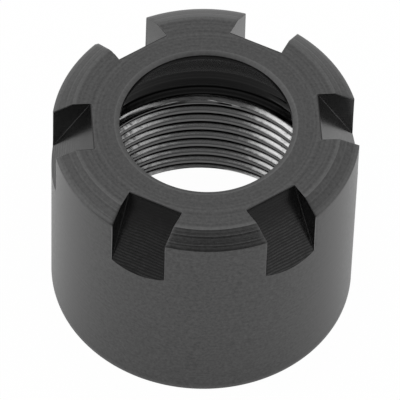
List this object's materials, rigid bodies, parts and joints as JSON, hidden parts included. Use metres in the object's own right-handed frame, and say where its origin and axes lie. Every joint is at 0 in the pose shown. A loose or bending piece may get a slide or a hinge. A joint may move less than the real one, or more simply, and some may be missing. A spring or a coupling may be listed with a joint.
{
  "type": "collet nut",
  "caption": "Small round clamping nut for a spring collet: threaded bore, inner cone with an eccentric extractor lip, and slanted spanner slots round the front rim.",
  "frame": {"origin": "centre of the flat rear face, on the thread axis", "axes": "+Z along the axis from the threaded rear face to the front face; two opposite spanner slots lie on the X axis, and the extractor lip is thickest at -Y"},
  "size_m": [0.022, 0.022, 0.0174],
  "materials": {
    "nut": "black oxide over fine turning, bare bright steel in the thread"
  },
  "bodies": {
    "root": {"collet_nut": "nut"}
  },
  "joints": []
}
